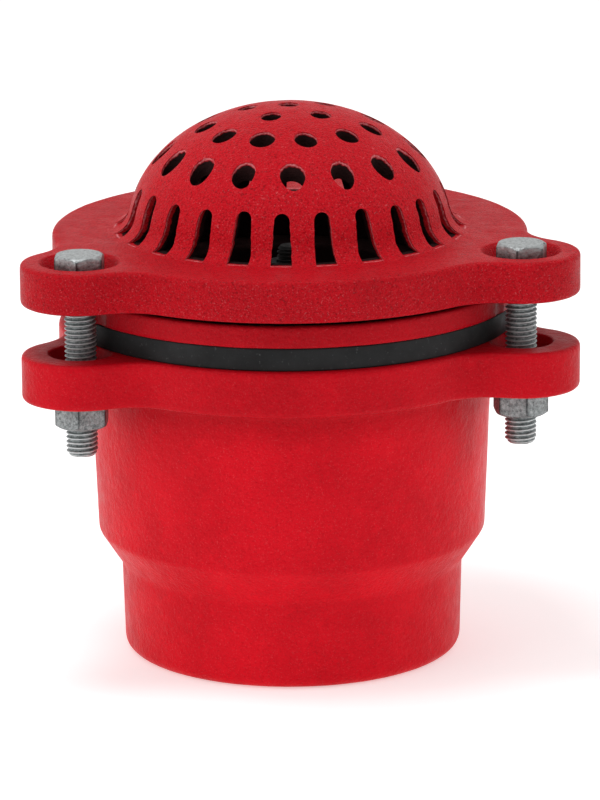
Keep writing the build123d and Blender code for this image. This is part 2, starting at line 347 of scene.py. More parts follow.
def cast_skin(obj, seed, budget=FACE_BUDGET):
    """Softens the edges of a casting and gives its skin the unevenness of sand and thick paint."""
    remesh = obj.modifiers.new("grain", "REMESH")
    remesh.mode = "VOXEL"
    remesh.voxel_size = VOXEL * MM
    soften = obj.modifiers.new("soften", "SMOOTH")
    soften.factor = 0.5
    soften.iterations = SKIN_SOFTENING
    bake_modifiers(obj)
    count = len(obj.data.vertices)
    normals = np.zeros(count * 3)
    obj.data.vertex_normals.foreach_get("vector", normals)
    normals = normals.reshape(-1, 3)
    points = np.zeros(count * 3)
    obj.data.vertices.foreach_get("co", points)
    points = points.reshape(-1, 3)
    heights = np.zeros(count)
    for wavelength, share in ((14.0, 0.55), (5.0, 0.30), (2.4, 0.15)):
        scale = 1.0 / (wavelength * MM)
        shift = Vector((seed, seed * 1.7, seed * 0.3))
        heights += share * np.array([noise.noise(Vector(p) * scale + shift) for p in points])
    points += normals * (heights * SKIN_SWELL * MM)[:, None]
    obj.data.vertices.foreach_set("co", points.ravel())
    triangles = 2 * len(obj.data.polygons)
    if triangles > budget:
        thin = obj.modifiers.new("thin", "DECIMATE")
        thin.ratio = budget / triangles
        bake_modifiers(obj)
    obj.data.update()
    shade_smooth(obj)


# ---- materials ---------------------------------------------------------------------------------

class Material:
    """A node material under construction, with short ways to add and link nodes."""

    def __init__(self, name):
        self.data = bpy.data.materials.new(name)
        self.data.use_nodes = True
        self.tree = self.data.node_tree
        self.shader = self.tree.nodes["Principled BSDF"]
        self.place = self.node("ShaderNodeTexCoord").outputs["Object"]

    def node(self, kind, **settings):
        made = self.tree.nodes.new(kind)
        for key, value in settings.items():
            setattr(made, key, value)
        return made

    def link(self, source, target):
        self.tree.links.new(source, target)

    def noise(self, size_mm, detail=2.0, roughness=0.5):
        """Noise with features of about the given size."""
        made = self.node("ShaderNodeTexNoise")
        made.inputs["Scale"].default_value = 1.0 / (size_mm * MM)
        made.inputs["Detail"].default_value = detail
        made.inputs["Roughness"].default_value = roughness
        self.link(self.place, made.inputs["Vector"])
        return made.outputs["Fac"]

    def cells(self, size_mm, output="Distance"):
        """Voronoi cells of about the given size."""
        made = self.node("ShaderNodeTexVoronoi")
        made.inputs["Scale"].default_value = 1.0 / (size_mm * MM)
        self.link(self.place, made.inputs["Vector"])
        return made.outputs[output]

    def remap(self, value, low, high, to_low=0.0, to_high=1.0):
        made = self.node("ShaderNodeMapRange")
        made.inputs["From Min"].default_value = low
        made.inputs["From Max"].default_value = high
        made.inputs["To Min"].default_value = to_low
        made.inputs["To Max"].default_value = to_high
        self.link(value, made.inputs["Value"])
        return made.outputs["Result"]

    def mix(self, share, first, second):
        """Mixes two colours, each a socket or a tuple, by a socket."""
        made = self.node("ShaderNodeMix", data_type="RGBA")
        self.link(share, made.inputs["Factor"])
        for name, colour in (("A", first), ("B", second)):
            socket = [s for s in made.inputs if s.name == name and s.type == "RGBA"][0]
            if isinstance(colour, tuple):
                socket.default_value = (*colour, 1.0)
            else:
                self.link(colour, socket)
        return [s for s in made.outputs if s.type == "RGBA"][0]

    def math(self, operation, first, second):
        made = self.node("ShaderNodeMath", operation=operation)
        for socket, value in zip(made.inputs, (first, second)):
            if isinstance(value, (int, float)):
                socket.default_value = value
            else:
                self.link(value, socket)
        return made.outputs["Value"]

    def polar(self):
        """Distance from the pipe axis, and height."""
        split = self.node("ShaderNodeSeparateXYZ")
        self.link(self.place, split.inputs["Vector"])
        x, y, z = split.outputs
        square = self.math("ADD", self.math("MULTIPLY", x, x), self.math("MULTIPLY", y, y))
        return self.math("SQRT", square, 0.0), z

    def step(self, low_mm, high_mm, to_low=0.0, to_high=1.0):
        """A step over a range of heights."""
        _, height = self.polar()
        return self.remap(height, low_mm * MM, high_mm * MM, to_low, to_high)

    def edges(self, low, high):
        """0 in hollows and 1 on convex edges."""
        return self.remap(self.node("ShaderNodeNewGeometry").outputs["Pointiness"], low, high)

    def bump(self, height, depth_mm, below=None):
        made = self.node("ShaderNodeBump")
        made.inputs["Strength"].default_value = 1.0
        made.inputs["Distance"].default_value = depth_mm * MM
        self.link(height, made.inputs["Height"])
        if below is not None:
            self.link(below, made.inputs["Normal"])
        return made.outputs["Normal"]

    def finish(self, colour, roughness, normal, **constants):
        self.link(colour, self.shader.inputs["Base Color"])
        self.link(roughness, self.shader.inputs["Roughness"])
        self.link(normal, self.shader.inputs["Normal"])
        for name, value in constants.items():
            self.shader.inputs[name.replace("_", " ")].default_value = value
        return self.data


def red_paint(name, tone, bare, grain_mm):
    """Thick semi-gloss red enamel brushed over a sand casting, and bare iron where bare is 1,
    painted near black as shade.

    tone darkens or lightens the whole coat of a casting, and
    grain_mm is how deep the sand of the mould shows through it.
    """
    m = Material(name)
    light = tuple(tone * c for c in (0.675, 0.0038, 0.0135))
    dark = tuple(tone * c for c in (0.565, 0.0030, 0.0110))
    broad = m.noise(30.0, detail=3.0)
    streak = m.noise(4.0, detail=5.0, roughness=0.65)
    red = m.mix(m.remap(broad, 0.35, 0.65), light, dark)
    red = m.mix(m.remap(streak, 0.50, 0.72, 0.0, 0.45), red, tuple(1.12 * c for c in light))
    # The dome and the top face of the strainer's flange are painted lighter: painted light on the
    # upper surfaces.
    lit_dome = m.step(STRAINER_FLANGE_HIGH - 1.5, STRAINER_FLANGE_HIGH + 1.5, 0.0, 0.75)
    red = m.mix(lit_dome, red, (0.74, 0.0050, 0.0160))
    coarse = m.step(STRAINER_FLANGE_LOW - 2.0, STRAINER_FLANGE_LOW, 0.35, 1.0)
    speck = m.remap(m.noise(0.9, detail=2.0, roughness=0.7), 0.52, 0.68, 0.0, 0.75)
    red = m.mix(m.math("MULTIPLY", speck, coarse), red, tuple(0.50 * c for c in dark))
    glint = m.remap(m.noise(0.60, detail=3.0, roughness=0.75), 0.58, 0.68, 0.0, 0.30)
    red = m.mix(m.math("MULTIPLY", glint, coarse), red, (0.85, 0.30, 0.32))
    # Convex edges are painted a lighter red: a painted highlight.
    thin = m.edges(0.525, 0.60)
    red = m.mix(m.math("MULTIPLY", thin, 0.30), red, (0.72, 0.05, 0.06))
    # Hollows and creases are painted dark: painted shade.
    hollow = m.edges(0.485, 0.42)
    red = m.mix(m.math("MULTIPLY", hollow, 0.75), red, (0.13, 0.002, 0.004))
    # Painted shadow under the body flange, darkest just below it; from the flange up, a smaller
    # even darkening stays on the coat.
    shadow_under_flange = m.step(BODY_FLANGE_LOW - 16.5, BODY_FLANGE_LOW - 0.5, 0.0, 0.26)
    shadow_eased_on_flange = m.step(BODY_FLANGE_LOW, BODY_FLANGE_LOW + 1.5, 0.0, 0.10)
    red = m.mix(m.math("SUBTRACT", shadow_under_flange, shadow_eased_on_flange), red, (0.0, 0.0, 0.0))
    bare_and_shaded, rim = bare(m)
    # A light pink band along the rims of the slots and holes: a painted highlight.
    wear_and_highlight = m.remap(m.noise(1.3, detail=3.0, roughness=0.7), 0.38, 0.60, 0.25, 0.95)
    if rim is not None:
        red = m.mix(m.math("MULTIPLY", rim, wear_and_highlight), red, (0.80, 0.27, 0.29))
    # Bare iron painted near black: painted shade in the hollows, slots, holes and crevices of the
    # castings.
    iron = m.mix(m.noise(3.0, detail=4.0), (0.012, 0.006, 0.006), (0.035, 0.012, 0.012))
    shade = m.mix(bare_and_shaded, red, iron)
    rough = m.remap(m.noise(7.0, detail=3.0), 0.3, 0.7, 0.30, 0.46)
    rough = m.math("MAXIMUM", rough, m.math("MULTIPLY", bare_and_shaded, 0.8))
    grain = m.noise(0.85, detail=3.0, roughness=0.6)
    skin = m.noise(2.6, detail=3.0, roughness=0.55)
    pits = m.remap(m.cells(2.3), 0.06, 0.34)
    normal = m.bump(skin, 0.42)
    normal = m.bump(grain, grain_mm, normal)
    normal = m.bump(pits, 0.08, normal)
    return m.finish(shade, rough, normal, Specular_IOR_Level=0.065)


def dome_bare_and_shaded(m):
    """Where the brush didn't reach, bare iron painted near black as shade: inside the dome and its
    slots, the throat and the underside.

    The second value is 1 on the painted highlight along the rims of the slots and holes.
    """
    radius, height = m.polar()
    above = m.math("MAXIMUM", m.math("SUBTRACT", height, STRAINER_FLANGE_HIGH * MM), 0.0)
    root = DOME_ROOT * MM
    to_go = m.math("MAXIMUM", m.math("SUBTRACT", root, above), 0.0)
    drop = m.math("SQRT", m.math("SUBTRACT", root**2, m.math("MULTIPLY", to_go, to_go)), 0.0)
    flare = m.math("SUBTRACT", root, drop)
    across = m.math("DIVIDE", m.math("SUBTRACT", radius, flare), DOME_RADIUS * MM)
    up = m.math("DIVIDE", above, DOME_RISE * MM)
    squares = m.math("ADD", m.math("MULTIPLY", across, across), m.math("MULTIPLY", up, up))
    ragged = m.math("MULTIPLY", m.math("SUBTRACT", m.noise(1.6, detail=4.0), 0.5), 0.05)
    depth = m.math("ADD", squares, ragged)
    # The brush went further into the slots than into the holes, so in the holes the painted shade
    # starts just under the rim.
    into_slots = m.step(SLOT_TOP + 0.7, SLOT_TOP + 3.2, 0.045, 0.0)
    inside = m.remap(m.math("ADD", depth, into_slots), 0.966, 0.950)
    # A thin band just under the outer skin, where the rim highlight is painted.
    rim = m.math("MULTIPLY", m.remap(depth, 0.992, 0.980), m.remap(depth, 0.960, 0.972))
    under = m.step(STRAINER_FLANGE_LOW + 0.4, STRAINER_FLANGE_LOW + 0.1)
    return m.math("MAXIMUM", inside, under), rim


def body_bare_and_shaded(m):
    """The bore and the chamber are bare iron painted near black as shade, up to within the wall.
    No rim highlight is painted.
    """
    radius, _ = m.polar()
    within_wall = m.step(BORE_TOP - 2.0, CHAMBER_FLOOR + 1.0, 61.0 * MM, 70.0 * MM)
    soft = 0.4 * MM
    return m.remap(m.math("SUBTRACT", within_wall, radius), -soft, soft), None


def ring_faces_bare_and_shaded(m):
    """Only the outer rim of the seat ring is painted red; its faces are bare iron painted near
    black, as shade in the crevices beside it.
    """
    radius, _ = m.polar()
    ragged = m.math("MULTIPLY", m.math("SUBTRACT", m.noise(3.0, detail=4.0), 0.5), 0.003)
    reach = m.math("ADD", radius, ragged)
    return m.remap(reach, (SEAT_RADIUS - 1.2) * MM, (SEAT_RADIUS - 2.0) * MM), None


def galvanised(name, lines_from):
    """Hot-dip zinc: dull, mottled and a little lumpy.

    Above the height lines_from, in millimetres, a dark line of painted shade is drawn along the
    edges of the hexagon.
    Below it, on the thread, the crests get a painted highlight instead.
    """
    m = Material(name)
    to_grey = m.node("ShaderNodeRGBToBW")
    m.link(m.cells(1.1, output="Color"), to_grey.inputs["Color"])
    spangle = m.remap(to_grey.outputs["Val"], 0.25, 0.75)
    shade = m.mix(spangle, (0.130, 0.146, 0.148), (0.29, 0.315, 0.315))
    cloud = m.remap(m.noise(1.4, detail=5.0, roughness=0.7), 0.42, 0.66)
    shade = m.mix(m.math("MULTIPLY", cloud, 0.75), shade, (0.50, 0.53, 0.528))
    # The upper part of the bolt heads is painted lighter: painted light from above.
    lit_head_tops = m.step(STRAINER_FLANGE_HIGH - 1.0, STRAINER_FLANGE_HIGH + 1.5, 0.0, 0.40)
    shade = m.mix(lit_head_tops, shade, (0.72, 0.74, 0.74))
    soot = m.remap(m.noise(0.9, detail=4.0, roughness=0.7), 0.53, 0.68)
    shade = m.mix(m.math("MULTIPLY", soot, 0.60), shade, (0.045, 0.049, 0.049))
    hollow = m.edges(0.49, 0.43)
    shade = m.mix(m.math("MULTIPLY", hollow, 0.9), shade, (0.025, 0.026, 0.026))
    on_hexagon = m.step(lines_from - 0.2, lines_from + 0.2)
    # A dark line painted along each edge of the hexagon: painted shade.
    ridge = m.edges(0.512, 0.535)
    gaps = m.remap(m.noise(2.2, detail=2.0), 0.35, 0.55, 0.55, 1.0)
    line = m.math("MULTIPLY", m.math("MULTIPLY", ridge, gaps), on_hexagon)
    shade = m.mix(line, shade, (0.024, 0.025, 0.026))
    # Thread crests are painted light: a painted highlight.
    crest = m.math("MULTIPLY", m.edges(0.51, 0.56), m.math("SUBTRACT", 0.8, on_hexagon))
    shade = m.mix(m.math("MAXIMUM", crest, 0.0), shade, (0.74, 0.77, 0.77))
    rough = m.remap(m.noise(1.0, detail=3.0), 0.3, 0.7, 0.34, 0.56)
    lumps = m.noise(1.3, detail=3.0, roughness=0.6)
    grain = m.noise(0.4, detail=2.0)
    normal = m.bump(grain, 0.05, m.bump(lumps, 0.34))
    return m.finish(shade, rough, normal, Metallic=0.62)


def black_rubber():
    """Sheet rubber with a fine matt skin and a little talc left on it."""
    m = Material("black_rubber")
    broad = m.remap(m.noise(16.0, detail=4.0), 0.35, 0.7)
    shade = m.mix(broad, (0.008, 0.0083, 0.0086), (0.015, 0.0155, 0.016))
    talc = m.remap(m.noise(1.4, detail=4.0, roughness=0.7), 0.62, 0.74)
    shade = m.mix(m.math("MULTIPLY", talc, 0.18), shade, (0.30, 0.30, 0.30))
    edge = m.edges(0.52, 0.60)
    shade = m.mix(m.math("MULTIPLY", edge, 0.25), shade, (0.12, 0.12, 0.12))
    rough = m.remap(m.noise(5.0, detail=3.0), 0.3, 0.7, 0.50, 0.68)
    normal = m.bump(m.noise(0.5, detail=3.0), 0.04, m.bump(m.noise(4.0), 0.10))
    return m.finish(shade, rough, normal, Specular_IOR_Level=0.20)


def machined_iron():
    """Grey iron as the thread cutter left it, with a film of oil and the first rust."""
    m = Material("machined_iron")
    rust = m.remap(m.noise(7.0, detail=6.0, roughness=0.65), 0.52, 0.72)
    shade = m.mix(m.math("MULTIPLY", rust, 0.55), (0.30, 0.29, 0.285), (0.16, 0.075, 0.04))
    rough = m.remap(m.noise(2.0, detail=3.0), 0.3, 0.7, 0.30, 0.52)
    normal = m.bump(m.noise(0.6, detail=2.0), 0.04)
    return m.finish(shade, rough, normal, Metallic=0.85)


def black_primer():
    """A rough casting under a thin black primer."""
    m = Material("black_primer")
    broad = m.remap(m.noise(12.0, detail=4.0), 0.35, 0.7)
    shade = m.mix(broad, (0.030, 0.029, 0.028), (0.060, 0.056, 0.052))
    wear_and_highlight = m.edges(0.53, 0.62)
    shade = m.mix(m.math("MULTIPLY", wear_and_highlight, 0.5), shade, (0.20, 0.17, 0.15))
    rough = m.remap(m.noise(3.0, detail=3.0), 0.3, 0.7, 0.55, 0.75)
    normal = m.bump(m.noise(0.9, detail=3.0), 0.10, m.bump(m.noise(3.0), 0.20))
    return m.finish(shade, rough, normal)


def blackened():
    """Steel with a thin black oxide, rubbed grey on its edges."""
    m = Material("blackened_steel")
    broad = m.remap(m.noise(6.0, detail=4.0), 0.35, 0.7)
    shade = m.mix(broad, (0.014, 0.013, 0.0125), (0.030, 0.028, 0.027))
    wear_and_highlight = m.edges(0.53, 0.62)
    shade = m.mix(m.math("MULTIPLY", wear_and_highlight, 0.35), shade, (0.10, 0.095, 0.09))
    rough = m.remap(m.noise(2.0, detail=3.0), 0.3, 0.7, 0.42, 0.60)
    normal = m.bump(m.noise(0.7, detail=3.0), 0.05)
    return m.finish(shade, rough, normal, Specular_IOR_Level=0.35)


def pale_floor():
    """A plain pale studio floor."""
    m = Material("pale_floor")
    tone = m.remap(m.noise(400.0, detail=2.0), 0.3, 0.7)
    shade = m.mix(tone, (0.84, 0.84, 0.84), (0.87, 0.87, 0.87))
    rough = m.remap(m.noise(60.0), 0.3, 0.7, 0.75, 0.85)
    m.shader.inputs["Emission Color"].default_value = (1.0, 1.0, 1.0, 1.0)
    normal = m.bump(m.noise(2.0), 0.01)
    return m.finish(shade, rough, normal, Emission_Strength=0.42, Specular_IOR_Level=0.1)


STRAINER_PAINT = red_paint("red_paint_strainer", 0.93, dome_bare_and_shaded, 0.85)
BODY_PAINT = red_paint("red_paint_body", 1.0, body_bare_and_shaded, 0.22)
RING_PAINT = red_paint("red_paint_ring", 0.80, ring_faces_bare_and_shaded, 0.30)
BOLT_ZINC = galvanised("galvanised_bolt", HEAD_SEAT + 0.1)
NUT_ZINC = galvanised("galvanised_nut", 0.0)
RUBBER = black_rubber()
MACHINED = machined_iron()
PRIMER = black_primer()
BLACKENED = blackened()


def settle(obj, body, material, slot, *nodes):
    """Gives a finished piece its material and its body, and hides the CAD nodes it stands for.
    slot is not used.
    """
    obj.data.materials.clear()
    obj.data.materials.append(material)
    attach(obj, body)
    if nodes:
        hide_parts(*nodes)
    return obj


# ---- castings ----------------------------------------------------------------------------------

def lug_centre(angle, distance=LUG_DISTANCE):
    return (distance * math.cos(angle), distance * math.sin(angle))


def arc(centre, radius, start, end, steps):
    """Points along an arc, without its last point."""
    angles = [start + (end - start) * k / steps for k in range(steps)]
    return [(centre[0] + radius * math.cos(a), centre[1] + radius * math.sin(a)) for a in angles]


def nearest_turn(angle, goal):
    """The same direction as angle, written within half a turn of goal."""
    return angle - TURN * round((angle - goal) / TURN)


def direction(start, end):
    return math.atan2(end[1] - start[1], end[0] - start[0])


def flange_ring(round_radius, inset, height):
    """The three-lug outline, drawn in by inset: hollow blend, lug, hollow blend, round, and on."""
    big, lug, blend = round_radius - inset, LUG_RADIUS - inset, LUG_BLEND + inset
    to_blend, lug_to_blend = big + blend, lug + blend
    cosine = (LUG_DISTANCE**2 + to_blend**2 - lug_to_blend**2) / (2 * LUG_DISTANCE * to_blend)
    spread = math.acos(cosine)
    outline = []
    for angle in LUG_ANGLES:
        middle = lug_centre(angle)
        before, after = angle - spread, angle + spread
        low, high = lug_centre(before, to_blend), lug_centre(after, to_blend)
        lug_start = direction(middle, low)
        lug_end = lug_start + (direction(middle, high) - lug_start) % TURN
        start, end = before + math.pi, lug_start + math.pi
        outline += arc(low, blend, start, nearest_turn(end, start), 14)
        outline += arc(middle, lug, lug_start, lug_end, 40)
        start, end = lug_end + math.pi, after + math.pi
        outline += arc(high, blend, nearest_turn(start, end), end, 14)
        outline += arc((0.0, 0.0), big, after, before + LUG_SPACING, 60)
    return [(x, y, height) for x, y in outline]


def flange_slab(name, round_radius, low, high, steps=5):
    """A flange plate whose top and bottom edges are rounded over."""
    rings = []
    for k in range(steps + 1):
        angle = math.pi / 2 * k / steps
        inset, rise = EDGE_ROUND * (1 - math.sin(angle)), EDGE_ROUND * (1 - math.cos(angle))
        rings.append(flange_ring(round_radius, inset, low + rise))
    for k in range(steps + 1):
        angle = math.pi / 2 * k / steps
        inset, drop = EDGE_ROUND * (1 - math.cos(angle)), EDGE_ROUND * (1 - math.sin(angle))
        rings.append(flange_ring(round_radius, inset, high - drop))
    return loft(name, rings)


def lug_cutters(name, low, high, radius, flare=0.0):
    """One upright cutter at each lug."""
    return join(name, [cutter(name, radius, low, high, lug_centre(a), flare) for a in LUG_ANGLES])


def make_body():
    """Socket, shoulder, flap chamber and lower flange."""
    # The top of the barrel is let into the flange, out to overlap and up to inlet_top.
    overlap = 84.5
    barrel_top, inlet_top = BODY_FLANGE_LOW + 0.2, FLANGE_TOP - 4.0
    profile = rounded(
        [
            (SOCKET_FOOT_RADIUS, 0.0, 4.5),
            (SOCKET_TOP_RADIUS, SHOULDER_LOW, 4.0),
            (BARREL_LOW_RADIUS, SHOULDER_HIGH, 4.0),
            (BARREL_TOP_RADIUS, barrel_top, 5.0),
            (overlap, barrel_top, 0.0),
            (overlap, inlet_top, 0.0),
            (CHAMBER_TOP_RADIUS, inlet_top, 0.0),
            (CHAMBER_LOW_RADIUS, CHAMBER_FLOOR, 6.0),
            (BORE_TOP_RADIUS, BORE_TOP, 3.0),
            (PIPE_SLEEVE - 0.05, PIPE_LENGTH, 0.0),
            (PIPE_SLEEVE - 0.05, 0.0, 0.8),
        ]
    )
    body = flange_slab("body_casting", BODY_FLANGE_RADIUS, BODY_FLANGE_LOW, FLANGE_TOP)
    chamber = cutter(
        "chamber", CHAMBER_TOP_RADIUS, BODY_FLANGE_LOW - 5, FLANGE_TOP + 5, segments=256
    )
    combine(body, chamber, "DIFFERENCE")
    combine(body, lathe("barrel", profile), "UNION")
    combine(body, lug_cutters("drills", *BODY_DRILL, BOLT_HOLE), "DIFFERENCE")
    pocket_floor = FLANGE_TOP - BODY_POCKET_DEPTH
    dishes = lug_cutters("pockets", pocket_floor, FLANGE_TOP, BODY_POCKET_RADIUS - 0.6, 2.6)
    combine(body, dishes, "DIFFERENCE")
    cast_skin(body, seed=3.0)
    return settle(body, HOUSING, BODY_PAINT, "red_casting", "body")


def dome_curve(radius, rise, low_z, high_angle, steps):
    """A quarter ellipse from the foot up to high_angle."""
    curve = []
    for k in range(steps + 1):
        angle = high_angle * k / steps
        curve.append((radius * math.cos(angle), low_z + rise * math.sin(angle)))
    return curve


def slot_cutter(angle, chance):
    """One tall slot seen from outside: flat foot, sides that lean in, and a round head."""
    half_foot = SLOT_FOOT / 2 + chance.uniform(-0.45, 0.3)
    head = SLOT_HEAD_RADIUS + chance.uniform(-0.25, 0.25)
    spring = SLOT_TOP - head + chance.uniform(-0.5, 0.5)
    steps, ragged = 10, 0.16
    right = []
    for k in range(steps):
        share = k / steps
        lean = half_foot + (head - half_foot) * share
        height = SLOT_FLOOR + (spring - SLOT_FLOOR) * share
        right.append((lean + chance.uniform(-ragged, ragged), height))
    left = [(-x + chance.uniform(-ragged, ragged), z) for x, z in right]
    top = [
        (head * math.cos(a), spring + head * math.sin(a))
        for a in (math.pi * k / 12 for k in range(13))
    ]
    outline = right + top + left[::-1]
    along = Vector((math.cos(angle), math.sin(angle), 0.0))
    across = Vector((-math.sin(angle), math.cos(angle), 0.0))
    rings = []
    for reach in SLOT_REACH:
        rings.append([along * reach + across * x + Vector((0, 0, z)) for x, z in outline])
    return loft("slot", rings)


def strainer_profile():
    """Outline of the dome with its flared foot, its inside and the throat below."""
    foot = STRAINER_FLANGE_HIGH
    # The dome's foot is let into the flange, out to overlap and down to inlet_low.
    overlap, inlet_low = 84.0, foot - 4.0
    outer = [(overlap, inlet_low), (overlap, foot - 0.1)]
    flare_steps = 12
    for k in range(flare_steps + 1):
        turn = math.pi / 2 * k / flare_steps
        height = foot + DOME_ROOT * (1 - math.cos(turn))
        flare = DOME_ROOT * (1 - math.sin(turn))
        ellipse = DOME_RADIUS * math.sqrt(1 - ((height - foot) / DOME_RISE) ** 2)
        outer.append((ellipse + flare, height))
    crown_angle = math.acos(2.0 / DOME_RADIUS)
    full = dome_curve(DOME_RADIUS, DOME_RISE, foot, crown_angle, 60)
    outer += [p for p in full if p[1] > foot + DOME_ROOT + 0.5]
    inner_radius, inner_rise = DOME_RADIUS - DOME_WALL, DOME_RISE - DOME_WALL
    inner_angle = math.acos(2.0 / inner_radius)
    inner = dome_curve(inner_radius, inner_rise, foot, inner_angle, 48)
    inner = [p for p in inner if p[1] > foot + THROAT_TAPER]
    throat = [(THROAT_RADIUS, foot), (THROAT_RADIUS, SEAT_HIGH), (RAISED_FACE_RADIUS, SEAT_HIGH)]
    return outer + inner[::-1] + throat + [(RAISED_FACE_RADIUS, inlet_low)]


def make_strainer():
    """Upper flange and the domed basket. Its slots and holes are cut last, with crisp rims."""
    strainer = flange_slab(
        "strainer_casting", STRAINER_FLANGE_RADIUS, STRAINER_FLANGE_LOW, STRAINER_FLANGE_HIGH
    )
    throat = cutter(
        "throat", THROAT_RADIUS + 0.3, STRAINER_DRILL[0], STRAINER_FLANGE_HIGH + 2, segments=256
    )
    combine(strainer, throat, "DIFFERENCE")
    combine(strainer, lathe("dome", strainer_profile()), "UNION")
    combine(strainer, lug_cutters("drills", *STRAINER_DRILL, BOLT_HOLE), "DIFFERENCE")
    dishes = lug_cutters("seats", HEAD_SEAT, STRAINER_FLANGE_HIGH, HEAD_POCKET_RADIUS - 1.4, 3.6)
    combine(strainer, dishes, "DIFFERENCE")
    cast_skin(strainer, seed=8.0, budget=STRAINER_FACE_BUDGET)
    chance = random.Random(24)
    slots = []
    for k in range(SLOTS):
        angle = math.radians(SLOT_FIRST + k * 360 / SLOTS + chance.uniform(-0.6, 0.6))
        slots.append(slot_cutter(angle, chance))
    combine(strainer, join("slots", slots), "DIFFERENCE")
    drills = [ragged_drill("drill", CROWN_HOLE, *DOME_DRILL, (0.0, 0.0), chance)]
    for ring, count, first, radius in HOLE_RINGS:
        for k in range(count):
            angle = math.radians(first + k * 360 / count + chance.uniform(-1.0, 1.0))
            centre = lug_centre(angle, ring + chance.uniform(-0.4, 0.4))
            size = radius + chance.uniform(-0.25, 0.15)
            drills.append(ragged_drill("drill", size, *DOME_DRILL, centre, chance))
    combine(strainer, join("drills", drills), "DIFFERENCE")
    shade_flat_edges(strainer, 45)
    return settle(strainer, HOUSING, STRAINER_PAINT, "red_casting", "strainer")


def make_seat_ring():
    """The loose ring, notched where the bolts pass."""
    profile = rounded(
        [
            (SEAT_HOLE, SEAT_LOW, 0.6),
            (SEAT_RADIUS, SEAT_LOW, 1.0),
            (SEAT_RADIUS, SEAT_HIGH, 1.4),
            (SEAT_HOLE, SEAT_HIGH, 1.2),
        ]
    )
    ring = lathe("seat_casting", profile, 320)
    notches = lug_cutters("notches", SEAT_LOW - 2, SEAT_HIGH + 2, SEAT_NOTCH)
    combine(ring, notches, "DIFFERENCE")
    cast_skin(ring, seed=5.0)
    return settle(ring, HOUSING, RING_PAINT, "red_casting", "seat_ring")


# ---- rubber sheet ------------------------------------------------------------------------------

def make_rubber():
    """The clamped rim, the flap, and the strip of the same rubber that they bend about."""
    rim = lathe(
        "rubber_rim",
        rounded(
            [
                (SLIT_RADIUS, RUBBER_LOW, 0.4),
                (GASKET_RADIUS, RUBBER_LOW, 0.7),
                (GASKET_RADIUS, RUBBER_HIGH, 0.7),
                (SLIT_RADIUS, RUBBER_HIGH, 0.4),
            ],
            steps=4,
        ),
        320,
    )
    wobble(rim, 0.12, 22.0, seed=2.0)
    settle(rim, HOUSING, RUBBER, "black_rubber", "rubber_gasket")

    low, high = RUBBER_LOW + 0.05, RUBBER_HIGH - 0.05
    disc = lathe(
        "rubber_flap_disc",
        rounded(
            [
                (FLAP_BORE, low, 0.0),
                (FLAP_RADIUS, low, 0.6),
                (FLAP_RADIUS, high, 0.6),
                (FLAP_BORE, high, 0.0),
            ],
            steps=4,
        ),
        256,
    )
    # The disc stops short of the hinge line, and the strip carries on from there.
    hinge_y = HINGE_POINT.y / MM
    stop_short = 4.5
    side, under, over = 70.0, RUBBER_LOW - 3.0, RUBBER_HIGH + 3.0
    corners = [(-side, under), (side, under), (side, over), (-side, over)]
    ends = (hinge_y + 30.0, hinge_y - stop_short)
    beyond = loft("beyond", [[(x, y, z) for x, z in corners] for y in ends])
    combine(disc, beyond, "DIFFERENCE")
    shade_flat_edges(disc)
    settle(disc, FLAP, RUBBER, "black_rubber", "rubber_flap")

    # The strip is thinned to a shallow groove on both faces, where it bends.
    half_width, reach, groove = 26.0, 9.0, 1.3
    middle = (RUBBER_LOW + RUBBER_HIGH) / 2
    rings = []
    steps = 36
    for k in range(steps + 1):
        along = -1 + 2 * k / steps
        thinning = groove * math.exp(-((along / 0.35) ** 2))
        half = (RUBBER_HIGH - RUBBER_LOW) / 2 - 0.12 - thinning
        section = rounded(
            [
                (-half_width, middle - half, 0.6),
                (half_width, middle - half, 0.6),
                (half_width, middle + half, 0.6),
                (-half_width, middle + half, 0.6),
            ],
            steps=3,
        )
        rings.append([(x, hinge_y + reach * along, z) for x, z in section])
    strip = loft("rubber_hinge_strip", rings[::-1])
    shade_flat_edges(strip)
    strip.data.materials.append(RUBBER)
    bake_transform(strip)


def wobble(obj, height_mm, size_mm, seed):
    """A slow unevenness along the normals."""
    shift = Vector((seed, -seed, 0.5 * seed))
    scale = 1.0 / (size_mm * MM)
    normals = [n.vector.copy() for n in obj.data.vertex_normals]
    for vertex, normal in zip(obj.data.vertices, normals):
        vertex.co += normal * (noise.noise(vertex.co * scale + shift) * height_mm * MM)
    obj.data.update()
    shade_flat_edges(obj)


def shade_flat_edges(obj, degrees=40):
    """Smooth shading that keeps the sharp corners sharp."""
    shade_smooth(obj)
    obj.data.set_sharp_from_angle(angle=math.radians(degrees))


# ---- fasteners ---------------------------------------------------------------------------------

def thread_shape(phase):
    """How far out a thread stands at a phase 0 to 1: 0 at its root and 1 at its crest."""
    flat, root = 0.09, 0.13
    slope = (1 - 2 * flat - 2 * root) / 2
    away = abs((phase % 1.0) - 0.5)
    return min(1.0, max(0.0, (0.5 - root - away) / slope))


def threaded_shank(low, high, radius, pitch, soft, seed):
    """Rings of a threaded rod from low to high, chamfered at the low end."""
    segments, per_turn = 48, 12
    depth = 0.58 * pitch
    rows = int((high - low) / pitch * per_turn)
    chamfer = 1.1
    rings = []
    for row in range(rows + 1):
        z = low + (high - low) * row / rows
        ring = []
        for i in range(segments):
            share = i / segments
            lift = thread_shape(z / pitch - share)
            reach = radius - depth * (1 - lift)
            turned = radius - depth - 0.4 + (z - low) * depth / chamfer
            reach = min(reach, max(turned, radius - depth - 0.4))
            spot = Vector((math.cos(TURN * share), math.sin(TURN * share), z / 6.0 + seed))
            reach += soft * noise.noise(spot * 2.2)
            ring.append((reach * math.cos(TURN * share), reach * math.sin(TURN * share), z))
        rings.append(ring)
    return rings


